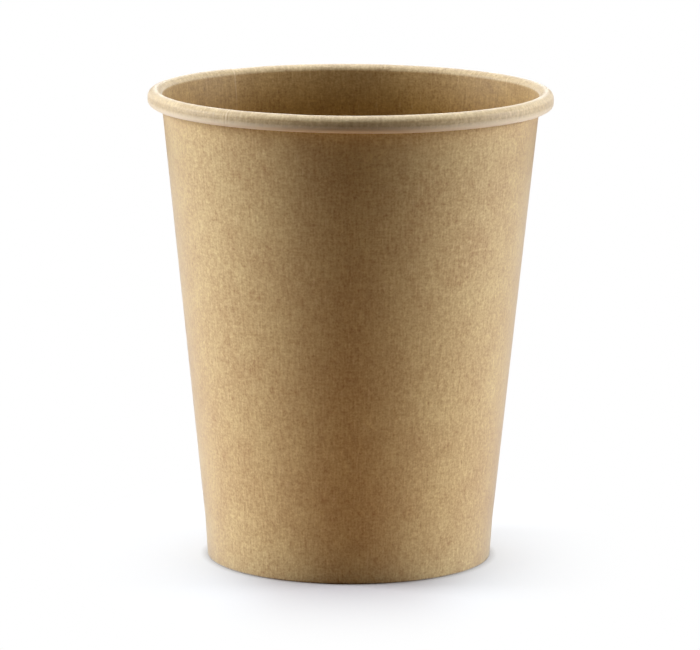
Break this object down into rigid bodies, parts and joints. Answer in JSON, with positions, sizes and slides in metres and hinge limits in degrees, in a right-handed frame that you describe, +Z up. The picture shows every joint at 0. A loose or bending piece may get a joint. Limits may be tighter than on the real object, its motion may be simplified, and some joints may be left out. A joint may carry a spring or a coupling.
{
  "type": "paper hot cup",
  "caption": "Single-wall kraft paper hot cup without a lid: a tapered, side-seamed wall with an outward rolled rim, and a recessed base disc held in the folded foot.",
  "frame": {"origin": "on the table, at the middle of the foot", "axes": "+Z up the cup's axis, towards the mouth; +X to the right and +Y away from the picture's camera"},
  "size_m": [0.08, 0.08, 0.0935],
  "materials": {
    "wall_board": "uncoated kraft board outside, thin coating inside",
    "disc_board": "kraft board, thin coating on its upper face"
  },
  "bodies": {
    "root": {"sidewall": "wall_board", "base_disc": "disc_board"}
  },
  "joints": []
}
